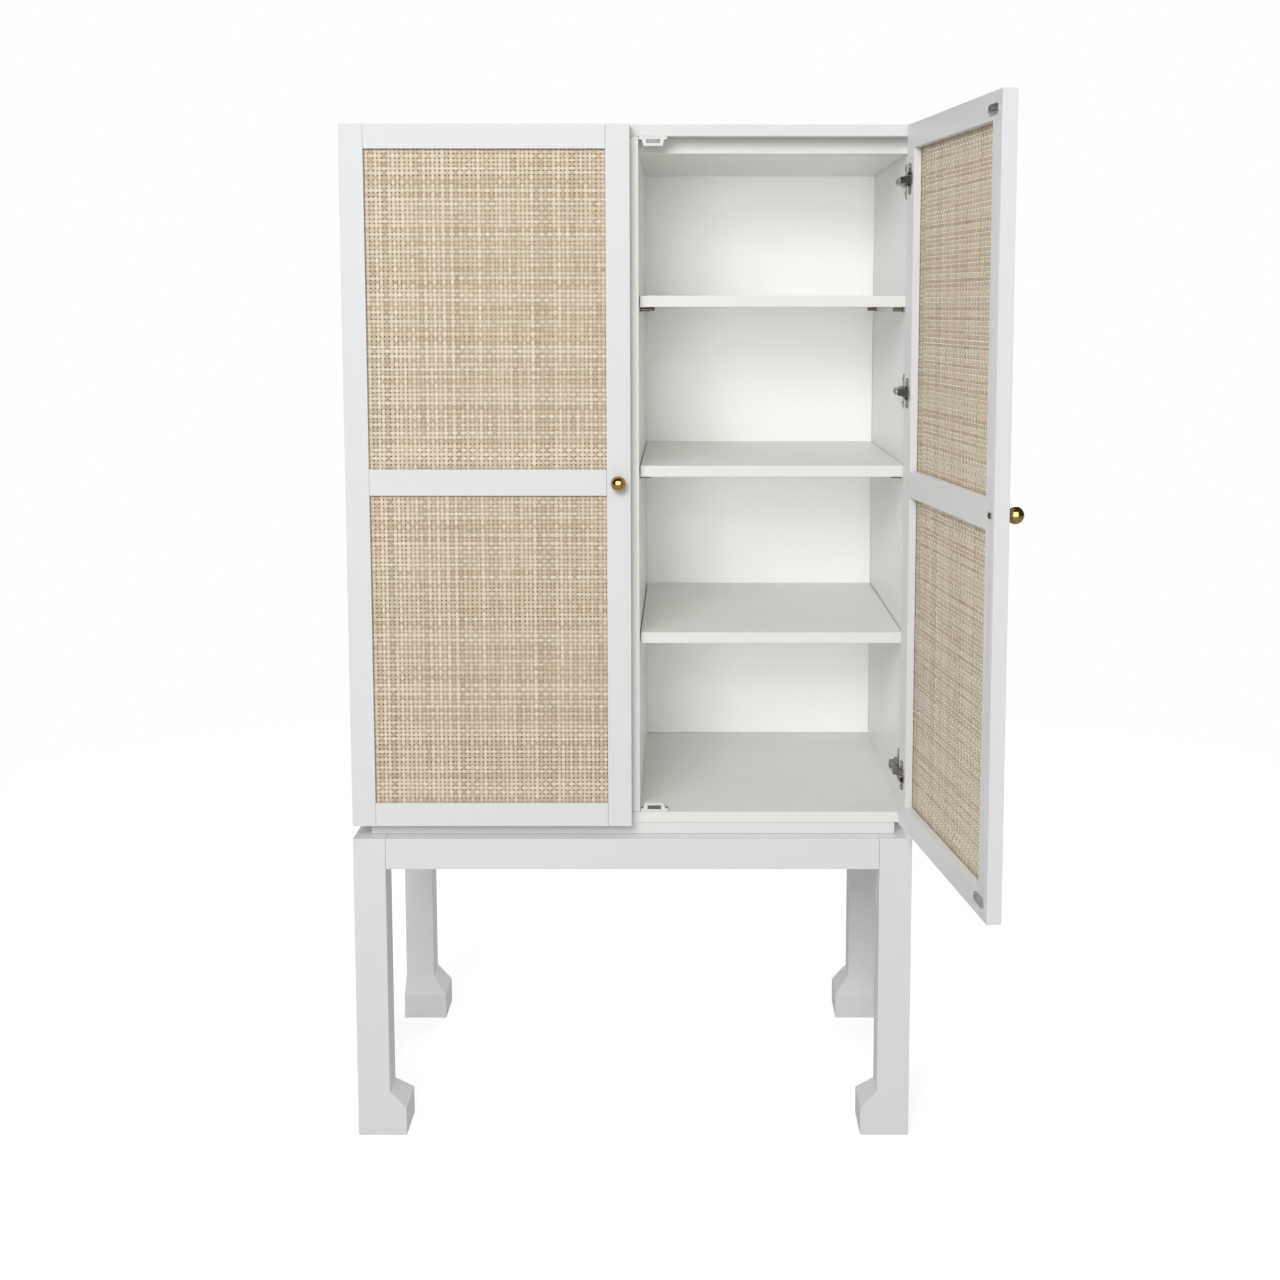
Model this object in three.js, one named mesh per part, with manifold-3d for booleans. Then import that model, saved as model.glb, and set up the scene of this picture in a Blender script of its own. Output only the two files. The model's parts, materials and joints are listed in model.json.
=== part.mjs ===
// A two-door cabinet with cane door panels, on a stand with four flared feet.
// Millimetres. +X is to the right, +Y to the back and +Z up. The cabinet is laid out with x = 0 at
// its middle, y = 0 at the front of the stand and doors, and z = 0 on the floor. At the end the
// whole is moved so that the origin is the bottom centre of its bounding box, open door included.

import * as THREE from 'three';
import { mergeVertices } from 'three/addons/utils/BufferGeometryUtils.js';
import Module from 'manifold-3d';

// ---- Overall sizes ----
const overallWidth = 914;
const overallDepth = 536;
const overallHeight = 1657;

// ---- Stand ----
const standHeight = 507;
const legSize = 53;
const footSize = 80;
const footBlockHeight = 46;
const footSlopeTop = 75;
const apronHeight = 51;
const apronThickness = 32;

// ---- Box ----
const plinthHeight = 20;
const plinthSideInset = 26;
const plinthFrontInset = 2;
const plinthRearInset = 25;
const boardThickness = 18;
const sideThickness = 14;
const dividerThickness = 24;
const backThickness = 4;
const ceilingThickness = 24;
const ceilingSetback = 38;

// ---- Shelves ----
const shelvesPerSide = 3;
const shelfThickness = 18;
const shelfSetback = 18;
const shelfClearance = 1.5;
const lowestBayHeight = 278;
const topBayHeight = 226;

// ---- Doors ----
const doorThickness = 21;
const doorToBoxGap = 4;
const doorTopReveal = 1.5;
const doorSideReveal = 0.5;
const doorMiddleGap = 2;
const doorBottomReveal = 1.5;
const stileWidth = 38;
const endRailHeight = 38;
const middleRailHeight = 42;
const canePanelThickness = 3;
const caneDepthFromFront = 6;
const grooveDepth = 6;
const grooveClearance = 0.4;
const panelEdgeGap = 1;
const leftDoorAngle = 0;
const rightDoorAngle = 98;

// ---- Knobs ----
const knobBallRadius = 11;
const knobBallCentre = 14;
const knobNeckRadius = 5;
const knobScrewRadius = 1.8;
const knobScrewHeadRadius = 4.5;
const knobScrewHeadHeight = 2.2;
const knobBoreDepth = 9;
const screwClearance = 0.5;

// ---- Hinges ----
const hingeAxisFromEdge = 8.5;
const hingeAxisFromInside = 11;
const hingeEndOffset = 85;
const middleHingeBelowBayCentre = 8;
const cupRadius = 12.8;
const cupDepth = 15.6;
const cupWall = 0.9;
const cupRim = 2.5;
const cupCentreFromEdge = 17.5;
const cupFlangeHeight = 48;
const cupFlangeWidth = 15;
const cupFlangeThickness = 1;
const hingePinRadius = 1.5;
const pinClearance = 0.15;
const knuckleRadius = 3;
const armFromAxis = 12.3;
const armHeight = 11;
const armThickness = 9;
const armLength = 52;
const armSlotClearance = 0.9;
const slotFloorClearance = 0.4;
const plateLength = 44;
const plateHeight = 16;
const plateSetback = 14;
const wingHeight = 56;
const wingWidth = 14;
const wingThickness = 2.5;
const wingCornerRadius = 5;
const wingCentreFromFront = 37;

// ---- Magnetic catches and their strike plates ----
const catchWidth = 45;
const catchBodyWidth = 30;
const catchHeight = 15;
const catchDepth = 14;
const catchEarHeight = 5;
const catchShoulder = 3;
const catchFromDivider = 1;
const catchSlotWidth = 22;
const catchSlotHeight = 6;
const catchSlotDepth = 2;
const strikeWidth = 42;
const strikeHeight = 14;
const strikeThickness = 1.5;
const strikeHoleRadius = 2;
const strikeHoleFromEnd = 6;
const catchTouchGap = 0.5;

// ---- Fits and roundness ----
const fitGap = 0.3;
const cutOverrun = 2;
const roundSegments = 24;
const smallRoundSegments = 12;

// ---- Places worked out from the sizes ----
const halfWidth = overallWidth / 2;
const boxFrontSetback = doorThickness + doorToBoxGap;
const boxBottom = standHeight + plinthHeight;
const floorTop = boxBottom + boardThickness;
const topPanelBottom = overallHeight - boardThickness;
const ceilingBottom = topPanelBottom - ceilingThickness;
const sideInnerX = halfWidth - sideThickness;
const dividerX = dividerThickness / 2;
const backInnerY = overallDepth - backThickness;
const doorBottom = boxBottom + doorBottomReveal;
const doorHeight = overallHeight - doorTopReveal - doorBottom;
const doorWidth = halfWidth - doorSideReveal - doorMiddleGap / 2;
const openingHeight = (doorHeight - 2 * endRailHeight - middleRailHeight) / 2;
const lowestShelfTop = floorTop + lowestBayHeight + shelfThickness;
const shelfPitch = (ceilingBottom - topBayHeight - lowestShelfTop) / (shelvesPerSide - 1);
const middleShelfRow = Math.floor((shelvesPerSide - 1) / 2);
const middleShelfTop = lowestShelfTop + middleShelfRow * shelfPitch;
const middleBayCentre = middleShelfTop + (shelfPitch - shelfThickness) / 2;
const hingeHeights = [
  hingeEndOffset,
  middleBayCentre - middleHingeBelowBayCentre - doorBottom,
  doorHeight - hingeEndOffset,
];

// ---- Finishes ----
const lacquer = new THREE.MeshStandardMaterial({ color: 0xececec, roughness: 0.4 });
const cane = new THREE.MeshStandardMaterial({ color: 0xd8c3a5, roughness: 0.8 });
const brass = new THREE.MeshStandardMaterial({ color: 0xb98a44, roughness: 0.3, metalness: 1 });
const nickel = new THREE.MeshStandardMaterial({ color: 0x8d8a84, roughness: 0.35, metalness: 1 });
const plastic = new THREE.MeshStandardMaterial({ color: 0xf2f2f0, roughness: 0.5 });

// ---- Solid modelling helpers ----
const wasm = await Module();
wasm.setup();

function toSolid(geometry) {
  const bare = geometry.clone();
  bare.deleteAttribute('normal');
  bare.deleteAttribute('uv');
  const merged = mergeVertices(bare, 1e-4);
  const vertProperties = new Float32Array(merged.attributes.position.array);
  const triVerts = new Uint32Array(merged.index.array);
  return new wasm.Manifold(new wasm.Mesh({ numProp: 3, vertProperties, triVerts }));
}

function toGeometry(solid) {
  const mesh = solid.getMesh();
  const geometry = new THREE.BufferGeometry();
  geometry.setAttribute('position', new THREE.BufferAttribute(mesh.vertProperties, 3));
  geometry.setIndex(new THREE.BufferAttribute(mesh.triVerts, 1));
  geometry.computeVertexNormals();
  return geometry;
}

// A box between two corners; the corners may be given in any order.
function boxBetween(x0, x1, y0, y1, z0, z1) {
  const geometry = new THREE.BoxGeometry(Math.abs(x1 - x0), Math.abs(y1 - y0), Math.abs(z1 - z0));
  return geometry.translate((x0 + x1) / 2, (y0 + y1) / 2, (z0 + z1) / 2);
}

function outline(points) {
  return new THREE.Shape(points.map(([x, y]) => new THREE.Vector2(x, y)));
}

function roundedRectangle(width, height, radius) {
  const right = width / 2 - radius;
  const top = height / 2 - radius;
  const shape = new THREE.Shape();
  shape.absarc(right, top, radius, 0, Math.PI / 2);
  shape.absarc(-right, top, radius, Math.PI / 2, Math.PI);
  shape.absarc(-right, -top, radius, Math.PI, 1.5 * Math.PI);
  shape.absarc(right, -top, radius, 1.5 * Math.PI, 2 * Math.PI);
  return shape;
}

function circleHole(x, y, radius) {
  return new THREE.Path().absarc(x, y, radius, 0, 2 * Math.PI, true);
}

function extrude(shape, depth) {
  const curveSegments = smallRoundSegments / 2;
  return new THREE.ExtrudeGeometry(shape, { depth, bevelEnabled: false, curveSegments });
}

// A shape drawn in x and z, extruded towards +Y from y = yStart.
function extrudeAlongY(shape, yStart, depth) {
  return extrude(shape, depth).rotateX(Math.PI / 2).translate(0, yStart + depth, 0);
}

// A shape drawn in y and z, extruded towards +X from x = xStart.
function extrudeAlongX(shape, xStart, depth) {
  return extrudeAlongY(shape, 0, depth).rotateZ(Math.PI / 2).translate(xStart + depth, 0, 0);
}

// A turned solid whose axis lies along Y; profile points are [radius, y], from one end of the axis
// to the other.
function turnedAlongY(profile, segments = roundSegments) {
  const points = profile.map(([radius, y]) => new THREE.Vector2(radius, y));
  return facingOut(new THREE.LatheGeometry(points, segments));
}

function facingOut(geometry) {
  const position = geometry.attributes.position;
  const index = geometry.index;
  const corner = (place) => new THREE.Vector3().fromBufferAttribute(position, index.getX(place));
  let volume = 0;
  for (let place = 0; place < index.count; place += 3) {
    volume += corner(place).dot(corner(place + 1).cross(corner(place + 2)));
  }
  if (volume < 0) index.array.reverse();
  return geometry;
}

function cylinderAlongY(radius, y0, y1, segments = smallRoundSegments) {
  const geometry = new THREE.CylinderGeometry(radius, radius, y1 - y0, segments);
  return geometry.translate(0, (y0 + y1) / 2, 0);
}

function cylinderAlongZ(radius, halfLength, segments = smallRoundSegments) {
  return new THREE.CylinderGeometry(radius, radius, 2 * halfLength, segments).rotateX(Math.PI / 2);
}

function cut(body, ...tools) {
  const solid = tools.reduce((left, tool) => left.subtract(toSolid(tool)), toSolid(body));
  return toGeometry(solid);
}

function join(...bodies) {
  return toGeometry(bodies.map(toSolid).reduce((left, right) => left.add(right)));
}

function common(first, second) {
  return toGeometry(toSolid(first).intersect(toSolid(second)));
}

function addPiece(parent, name, geometry, material) {
  const mesh = new THREE.Mesh(geometry, material);
  mesh.name = name;
  parent.add(mesh);
  return mesh;
}

const cabinet = new THREE.Group();

// ---- Stand: legs with flared block feet, and aprons between them ----

// A foot block, a sloped shoulder and a post. The same outline is extruded both ways and the two
// are intersected, so that the foot flares towards the inside of the stand on two sides.
function legGeometry() {
  const side = outline([
    [0, 0],
    [footSize, 0],
    [footSize, footBlockHeight],
    [legSize, footSlopeTop],
    [legSize, standHeight],
    [0, standHeight],
  ]);
  return common(extrudeAlongY(side, 0, footSize), extrudeAlongX(side, 0, footSize));
}

function addStand() {
  const corners = [
    ['front_left', -halfWidth, 0],
    ['front_right', halfWidth, 0],
    ['rear_right', halfWidth, overallDepth],
    ['rear_left', -halfWidth, overallDepth],
  ];
  corners.forEach(([place, x, y], quarterTurns) => {
    const leg = addPiece(cabinet, `${place}_leg`, legGeometry(), lacquer);
    leg.position.set(x, y, 0);
    leg.rotation.z = (quarterTurns * Math.PI) / 2;
  });

  const bottom = standHeight - apronHeight;
  const endX = halfWidth - legSize - fitGap;
  const endY = overallDepth - legSize - fitGap;
  const innerX = halfWidth - apronThickness;
  const innerY = overallDepth - apronThickness;
  const aprons = {
    front_apron: [-endX, endX, 0, apronThickness],
    rear_apron: [-endX, endX, innerY, overallDepth],
    left_apron: [-halfWidth, -innerX, legSize + fitGap, endY],
    right_apron: [innerX, halfWidth, legSize + fitGap, endY],
  };
  for (const [name, footprint] of Object.entries(aprons)) {
    addPiece(cabinet, name, boxBetween(...footprint, bottom, standHeight), lacquer);
  }
}

// ---- Box: plinth board, panels, divider and ceiling ----

function dividerGeometry() {
  const board = boxBetween(
    -dividerX, dividerX, boxFrontSetback, backInnerY - fitGap,
    floorTop + fitGap, topPanelBottom - fitGap,
  );
  const ceilingNotch = boxBetween(
    -dividerX - cutOverrun, dividerX + cutOverrun,
    boxFrontSetback + ceilingSetback - fitGap, backInnerY + cutOverrun,
    ceilingBottom - fitGap, topPanelBottom + cutOverrun,
  );
  return cut(board, ceilingNotch);
}

function addBox() {
  const plinthX = halfWidth - plinthSideInset;
  const panelBottom = floorTop + fitGap;
  const panelTop = topPanelBottom - fitGap;
  const insideX = sideInnerX - fitGap;
  const boards = {
    plinth_board: [
      -plinthX, plinthX, boxFrontSetback + plinthFrontInset, overallDepth - plinthRearInset,
      standHeight + fitGap, boxBottom - fitGap,
    ],
    bottom_panel: [-halfWidth, halfWidth, boxFrontSetback, overallDepth, boxBottom, floorTop],
    top_panel: [-halfWidth, halfWidth, boxFrontSetback, overallDepth, topPanelBottom, overallHeight],
    left_side_panel: [
      -halfWidth, -sideInnerX, boxFrontSetback, overallDepth, panelBottom, panelTop,
    ],
    right_side_panel: [
      sideInnerX, halfWidth, boxFrontSetback, overallDepth, panelBottom, panelTop,
    ],
    back_panel: [-insideX, insideX, backInnerY, overallDepth, panelBottom, panelTop],
    ceiling_panel: [
      -insideX, insideX, boxFrontSetback + ceilingSetback, backInnerY - fitGap,
      ceilingBottom, panelTop,
    ],
  };
  for (const [name, extents] of Object.entries(boards)) {
    addPiece(cabinet, name, boxBetween(...extents), lacquer);
  }
  addPiece(cabinet, 'centre_divider', dividerGeometry(), lacquer);
}

function addShelves() {
  const heights = ['lower', 'middle', 'upper'];
  const nearX = dividerX + shelfClearance;
  const farX = sideInnerX - shelfClearance;
  const frontY = boxFrontSetback + shelfSetback;
  const rearY = backInnerY - shelfClearance;
  for (const [sideName, side] of [['left', -1], ['right', 1]]) {
    heights.slice(0, shelvesPerSide).forEach((height, row) => {
      const top = lowestShelfTop + row * shelfPitch;
      const shelf = boxBetween(side * nearX, side * farX, frontY, rearY, top - shelfThickness, top);
      addPiece(cabinet, `${height}_${sideName}_shelf`, shelf, lacquer);
    });
  }
}

// ---- Magnetic catches: one at the top and one at the bottom of each compartment ----

// Standing on its base, with the front face at y = 0.
function catchGeometry() {
  const half = catchWidth / 2;
  const bodyHalf = catchBodyWidth / 2;
  const shoulderHalf = bodyHalf + catchShoulder;
  const front = outline([
    [-half, 0],
    [half, 0],
    [half, catchEarHeight],
    [shoulderHalf, catchEarHeight],
    [bodyHalf, catchHeight],
    [-bodyHalf, catchHeight],
    [-shoulderHalf, catchEarHeight],
    [-half, catchEarHeight],
  ]);
  const magnetRecess = boxBetween(
    -catchSlotWidth / 2, catchSlotWidth / 2, -cutOverrun, catchSlotDepth,
    (catchHeight - catchSlotHeight) / 2, (catchHeight + catchSlotHeight) / 2,
  );
  return cut(extrudeAlongY(front, 0, catchDepth), magnetRecess);
}

const catchCentreX = dividerX + catchFromDivider + catchWidth / 2;
const catchFrontY = doorThickness + fitGap + strikeThickness + catchTouchGap;

function addCatches() {
  for (const [sideName, side] of [['left', -1], ['right', 1]]) {
    const lower = addPiece(cabinet, `lower_${sideName}_catch`, catchGeometry(), plastic);
    lower.position.set(side * catchCentreX, catchFrontY, floorTop + fitGap);
    const upper = addPiece(cabinet, `upper_${sideName}_catch`, catchGeometry(), plastic);
    upper.position.set(side * catchCentreX, catchFrontY, topPanelBottom - fitGap);
    upper.rotation.y = Math.PI;
  }
}

// ---- Hinges ----
// Each hinge is a cup let into the stile, with a vertical pin across it, and an arm from the side
// panel whose knuckle turns on that pin. Both are drawn about the pin.

const hingeX = halfWidth - doorSideReveal - hingeAxisFromEdge;
const hingeY = doorThickness - hingeAxisFromInside;
const hingeNames = ['lower', 'middle', 'upper'];

function armGeometry(side) {
  const wallX = sideInnerX - hingeX - fitGap;
  const armX = -armFromAxis - armThickness;
  const boxFrontY = boxFrontSetback - hingeY;
  const armRearY = boxFrontY + armLength;
  const tangent = knuckleRadius * Math.SQRT1_2;
  const cranked = outline([
    [side * armX, armRearY],
    [side * armX, boxFrontY],
    [-side * tangent, -tangent],
    [side * tangent, tangent],
    [-side * armFromAxis, boxFrontY + fitGap],
    [-side * armFromAxis, armRearY],
  ]);
  const arm = extrude(cranked, armHeight).translate(0, 0, -armHeight / 2);
  const plate = boxBetween(
    side * wallX, -side * (armFromAxis + fitGap),
    boxFrontY + plateSetback, boxFrontY + plateSetback + plateLength,
    -plateHeight / 2, plateHeight / 2,
  );
  const wingShape = roundedRectangle(wingWidth, wingHeight, wingCornerRadius);
  const wingX = Math.min(side * wallX, side * (wallX - wingThickness));
  const wing = extrudeAlongX(wingShape, wingX, wingThickness);
  wing.translate(0, boxFrontY + wingCentreFromFront, 0);
  const knuckle = cylinderAlongZ(knuckleRadius, armHeight / 2, roundSegments);
  const bore = cylinderAlongZ(hingePinRadius + pinClearance, armHeight, roundSegments);
  return cut(join(arm, plate, wing, knuckle), bore);
}

function addArms() {
  for (const [sideName, side] of [['left', -1], ['right', 1]]) {
    hingeHeights.forEach((height, row) => {
      const name = `${hingeNames[row]}_${sideName}_hinge_arm`;
      const arm = addPiece(cabinet, name, armGeometry(side), nickel);
      arm.position.set(side * hingeX, hingeY, doorBottom + height);
    });
  }
}

// ---- Doors ----
// A door is drawn closed, about its hinge axis, with z = 0 at its bottom edge. Distances across it
// are measured from its hinge edge; side is 1 for the right door and -1 for the left.

const frontFaceY = hingeAxisFromInside - doorThickness;
const insideFaceY = hingeAxisFromInside;
const grooveFrontY = frontFaceY + caneDepthFromFront - grooveClearance;
const grooveRearY = frontFaceY + caneDepthFromFront + canePanelThickness + grooveClearance;
const slotHalfHeight = armHeight / 2 + armSlotClearance;
const slotFloorY = -knuckleRadius - slotFloorClearance;

function fromEdge(side, distance) {
  return side * (hingeAxisFromEdge - distance);
}

function doorBoard(side, near, far, bottom, top) {
  return boxBetween(fromEdge(side, near), fromEdge(side, far), frontFaceY, insideFaceY, bottom, top);
}

function panelGroove(side, near, far, bottom, top) {
  return boxBetween(fromEdge(side, near), fromEdge(side, far), grooveFrontY, grooveRearY, bottom, top);
}

function stileGroove(side, near, far) {
  const overlap = endRailHeight - grooveDepth;
  return panelGroove(side, near, far, overlap, doorHeight - overlap);
}

// The slot that the hinge arm passes through, from the pin out past the hinge edge.
function armSlot(side, halfHeight) {
  return boxBetween(
    0, fromEdge(side, -cutOverrun), slotFloorY, insideFaceY + cutOverrun, -halfHeight, halfHeight,
  );
}

function hingeStileGeometry(side) {
  const stile = doorBoard(side, 0, stileWidth, 0, doorHeight);
  const cuts = [stileGroove(side, stileWidth - grooveDepth, stileWidth + cutOverrun)];
  for (const height of hingeHeights) {
    const pocketFloor = insideFaceY - cupDepth;
    const pocket = cylinderAlongY(
      cupRadius + fitGap, pocketFloor, insideFaceY + cutOverrun, roundSegments,
    );
    pocket.translate(fromEdge(side, cupCentreFromEdge), 0, height);
    cuts.push(pocket, armSlot(side, slotHalfHeight + fitGap).translate(0, 0, height));
  }
  return cut(stile, ...cuts);
}

function freeStileGeometry(side, knobHeight) {
  const near = doorWidth - stileWidth;
  const stile = doorBoard(side, near, doorWidth, 0, doorHeight);
  const groove = stileGroove(side, near - cutOverrun, near + grooveDepth);
  const screwHole = cylinderAlongY(
    knobScrewRadius + screwClearance, frontFaceY - cutOverrun, insideFaceY + cutOverrun,
  );
  screwHole.translate(fromEdge(side, doorWidth - stileWidth / 2), 0, knobHeight);
  return cut(stile, groove, screwHole);
}

function railGeometry(side, bottom, height, grooveBelow, grooveAbove) {
  const near = stileWidth + fitGap;
  const far = doorWidth - stileWidth - fitGap;
  const top = bottom + height;
  const rail = doorBoard(side, near, far, bottom, top);
  const cuts = [];
  const ends = [near - cutOverrun, far + cutOverrun];
  if (grooveBelow) cuts.push(panelGroove(side, ...ends, bottom - cutOverrun, bottom + grooveDepth));
  if (grooveAbove) cuts.push(panelGroove(side, ...ends, top - grooveDepth, top + cutOverrun));
  return cut(rail, ...cuts);
}

function canePanelGeometry(side, openingBottom) {
  const reach = grooveDepth - panelEdgeGap;
  const front = frontFaceY + caneDepthFromFront;
  return boxBetween(
    fromEdge(side, stileWidth - reach), fromEdge(side, doorWidth - stileWidth + reach),
    front, front + canePanelThickness,
    openingBottom - reach, openingBottom + openingHeight + reach,
  );
}

// A ball on a short neck, bored for the knob screw.
function knobGeometry() {
  const boreRadius = knobScrewRadius + screwClearance;
  const profile = [
    [0, knobBoreDepth],
    [boreRadius, knobBoreDepth],
    [boreRadius, fitGap],
    [knobNeckRadius, fitGap],
  ];
  const neckAngle = Math.asin(knobNeckRadius / knobBallRadius);
  for (let step = 0; step <= smallRoundSegments; step += 1) {
    const angle = neckAngle + ((Math.PI - neckAngle) * step) / smallRoundSegments;
    const radius = step === smallRoundSegments ? 0 : knobBallRadius * Math.sin(angle);
    profile.push([radius, knobBallCentre - knobBallRadius * Math.cos(angle)]);
  }
  return turnedAlongY(profile.map(([radius, outward]) => [radius, frontFaceY - outward]));
}

function knobScrewGeometry() {
  const headFace = insideFaceY + fitGap;
  const headRim = headFace + knobScrewHeadHeight / 2;
  const tip = frontFaceY - knobBoreDepth + screwClearance;
  return turnedAlongY([
    [0, tip],
    [knobScrewRadius, tip],
    [knobScrewRadius, headFace],
    [knobScrewHeadRadius, headFace],
    [knobScrewHeadRadius, headRim],
    [knobScrewHeadRadius / 2, headFace + knobScrewHeadHeight],
    [0, headFace + knobScrewHeadHeight],
  ]);
}

function strikeGeometry() {
  const shape = roundedRectangle(strikeWidth, strikeHeight, strikeHeight / 2);
  const holeX = strikeWidth / 2 - strikeHoleFromEnd;
  shape.holes.push(circleHole(holeX, 0, strikeHoleRadius), circleHole(-holeX, 0, strikeHoleRadius));
  return extrudeAlongY(shape, insideFaceY + fitGap, strikeThickness);
}

function cupGeometry(side) {
  const floorY = insideFaceY - cupDepth + fitGap;
  const flangeY = insideFaceY + fitGap;
  const flangeTop = flangeY + cupFlangeThickness;
  const innerRadius = cupRadius - cupWall;
  const shell = turnedAlongY([
    [0, floorY],
    [cupRadius, floorY],
    [cupRadius, flangeY],
    [cupRadius + cupRim, flangeY],
    [cupRadius + cupRim, flangeTop],
    [innerRadius, flangeTop],
    [innerRadius, floorY + cupWall],
    [0, floorY + cupWall],
  ]);
  const flangeShape = roundedRectangle(cupFlangeWidth, cupFlangeHeight, wingCornerRadius);
  const flange = extrudeAlongY(flangeShape, flangeY, cupFlangeThickness);
  const hollow = cylinderAlongY(innerRadius, floorY + cupWall, flangeTop + cutOverrun, roundSegments);
  const outside = cylinderAlongY(cupRadius, floorY, flangeY, roundSegments);
  const centreX = fromEdge(side, cupCentreFromEdge);
  const body = cut(join(shell, flange), hollow).translate(centreX, 0, 0);
  const slotted = cut(body, armSlot(side, slotHalfHeight));
  const pin = common(
    cylinderAlongZ(hingePinRadius, cupRadius, roundSegments), outside.translate(centreX, 0, 0),
  );
  return join(slotted, pin);
}

function addDoor(sideName, side, angleInDegrees) {
  const door = new THREE.Group();
  door.position.set(side * hingeX, hingeY, doorBottom);
  door.rotation.z = side * THREE.MathUtils.degToRad(angleInDegrees);
  cabinet.add(door);

  const middleRailBottom = endRailHeight + openingHeight;
  const topRailBottom = doorHeight - endRailHeight;
  const knobHeight = middleRailBottom + middleRailHeight / 2;
  const knobX = fromEdge(side, doorWidth - stileWidth / 2);

  addPiece(door, `${sideName}_door_hinge_stile`, hingeStileGeometry(side), lacquer);
  addPiece(door, `${sideName}_door_free_stile`, freeStileGeometry(side, knobHeight), lacquer);
  addPiece(
    door, `${sideName}_door_bottom_rail`, railGeometry(side, 0, endRailHeight, false, true), lacquer,
  );
  addPiece(
    door, `${sideName}_door_middle_rail`,
    railGeometry(side, middleRailBottom, middleRailHeight, true, true), lacquer,
  );
  addPiece(
    door, `${sideName}_door_top_rail`,
    railGeometry(side, topRailBottom, endRailHeight, true, false), lacquer,
  );
  addPiece(door, `lower_${sideName}_cane_panel`, canePanelGeometry(side, endRailHeight), cane);
  addPiece(
    door, `upper_${sideName}_cane_panel`,
    canePanelGeometry(side, middleRailBottom + middleRailHeight), cane,
  );

  const knob = addPiece(door, `${sideName}_knob`, knobGeometry(), brass);
  knob.position.set(knobX, 0, knobHeight);
  const screw = addPiece(door, `${sideName}_knob_screw`, knobScrewGeometry(), nickel);
  screw.position.set(knobX, 0, knobHeight);

  const strikeX = side * (catchCentreX - hingeX);
  const strikeHeights = {
    lower: floorTop + catchHeight / 2 - doorBottom,
    upper: topPanelBottom - catchHeight / 2 - doorBottom,
  };
  for (const [place, height] of Object.entries(strikeHeights)) {
    const strike = addPiece(door, `${place}_${sideName}_strike_plate`, strikeGeometry(), nickel);
    strike.position.set(strikeX, 0, height);
  }

  hingeHeights.forEach((height, row) => {
    const cup = addPiece(door, `${hingeNames[row]}_${sideName}_hinge_cup`, cupGeometry(side), nickel);
    cup.position.z = height;
  });
}

addStand();
addBox();
addShelves();
addCatches();
addArms();
addDoor('left', -1, leftDoorAngle);
addDoor('right', 1, rightDoorAngle);

// Move the origin to the bottom centre of the bounding box.
const bounds = new THREE.Box3().setFromObject(cabinet);
const centre = bounds.getCenter(new THREE.Vector3());
cabinet.position.set(-centre.x, -centre.y, -bounds.min.z);
const model = new THREE.Group();
model.add(cabinet);

export default model;
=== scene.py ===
"""A white lacquered cabinet with woven cane doors on a stand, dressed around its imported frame.

Everything is in metres, in the frame's own axes: +X to the right, +Y to the back, +Z up. New pieces
are drawn about the origin, then carried to their places, which come from the frame's own nodes.
Door pieces are placed on a closed door and then turned with it to the angle it stands at.
"""

import json
import math

import bmesh
import bpy
from mathutils import Matrix, Vector


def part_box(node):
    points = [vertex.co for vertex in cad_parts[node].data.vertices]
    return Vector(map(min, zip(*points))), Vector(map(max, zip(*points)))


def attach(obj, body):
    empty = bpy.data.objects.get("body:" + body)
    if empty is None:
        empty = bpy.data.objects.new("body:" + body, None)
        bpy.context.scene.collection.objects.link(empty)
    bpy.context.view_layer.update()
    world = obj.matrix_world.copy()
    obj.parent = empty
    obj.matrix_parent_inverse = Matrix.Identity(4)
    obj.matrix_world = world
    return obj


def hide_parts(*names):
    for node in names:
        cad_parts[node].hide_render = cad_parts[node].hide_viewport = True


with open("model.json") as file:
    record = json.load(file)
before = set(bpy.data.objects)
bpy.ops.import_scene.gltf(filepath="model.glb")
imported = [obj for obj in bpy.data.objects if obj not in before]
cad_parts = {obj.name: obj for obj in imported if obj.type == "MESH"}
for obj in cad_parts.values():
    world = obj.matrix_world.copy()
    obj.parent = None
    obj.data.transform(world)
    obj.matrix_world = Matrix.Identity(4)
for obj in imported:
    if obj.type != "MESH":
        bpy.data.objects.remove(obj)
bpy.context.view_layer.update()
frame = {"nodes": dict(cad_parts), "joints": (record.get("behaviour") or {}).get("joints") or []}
nodes = frame["nodes"]

MM = 0.001
ACROSS, INWARD, UP = Vector((1, 0, 0)), Vector((0, 1, 0)), Vector((0, 0, 1))

# ---- Edges and small gaps ----
BOARD_EDGE = 0.8 * MM
DOOR_FRAME_EDGE = 0.4 * MM
METAL_EDGE = 0.4 * MM
PLASTIC_EDGE = 0.7 * MM
EDGE_SEGMENTS = 3
FACING, SQUARE_ON = 0.9, 0.99
SHARP_ANGLE = 32
FLAT_ANGLE = 0.5
SMOOTH_ANGLE = 40
HAIR = 0.1 * MM
WELD_GAP = 0.01 * MM

# ---- Boards seen in the open compartments ----
# The boards seen inside take a lacquer painted lighter and warmer: painted light.
INSIDE_BOARDS = ("back_panel", "ceiling_panel", "centre_divider", "bottom_panel")
INTERIOR_LIT = ("back_panel", "left_side_panel", "right_side_panel")

# ---- Cane ----
CANE_PITCH = 6.9 * MM
STRAND_WIDTH = 5.15 * MM
STRAND_THICKNESS = 1.0 * MM
STRAND_RISE = 0.5 * MM
STRAND_SMOOTH_ANGLE = 60
STRAND_WANDER = 4.4 * MM
WANDER_PITCHES = 2.2
WANDER_LENGTH = 45
CANE_TUCK = 4.5 * MM
STRAND_LEAD = 1.75
SPARE_PAIRS = 3
FIRST_CROSSER = 1000

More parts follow.
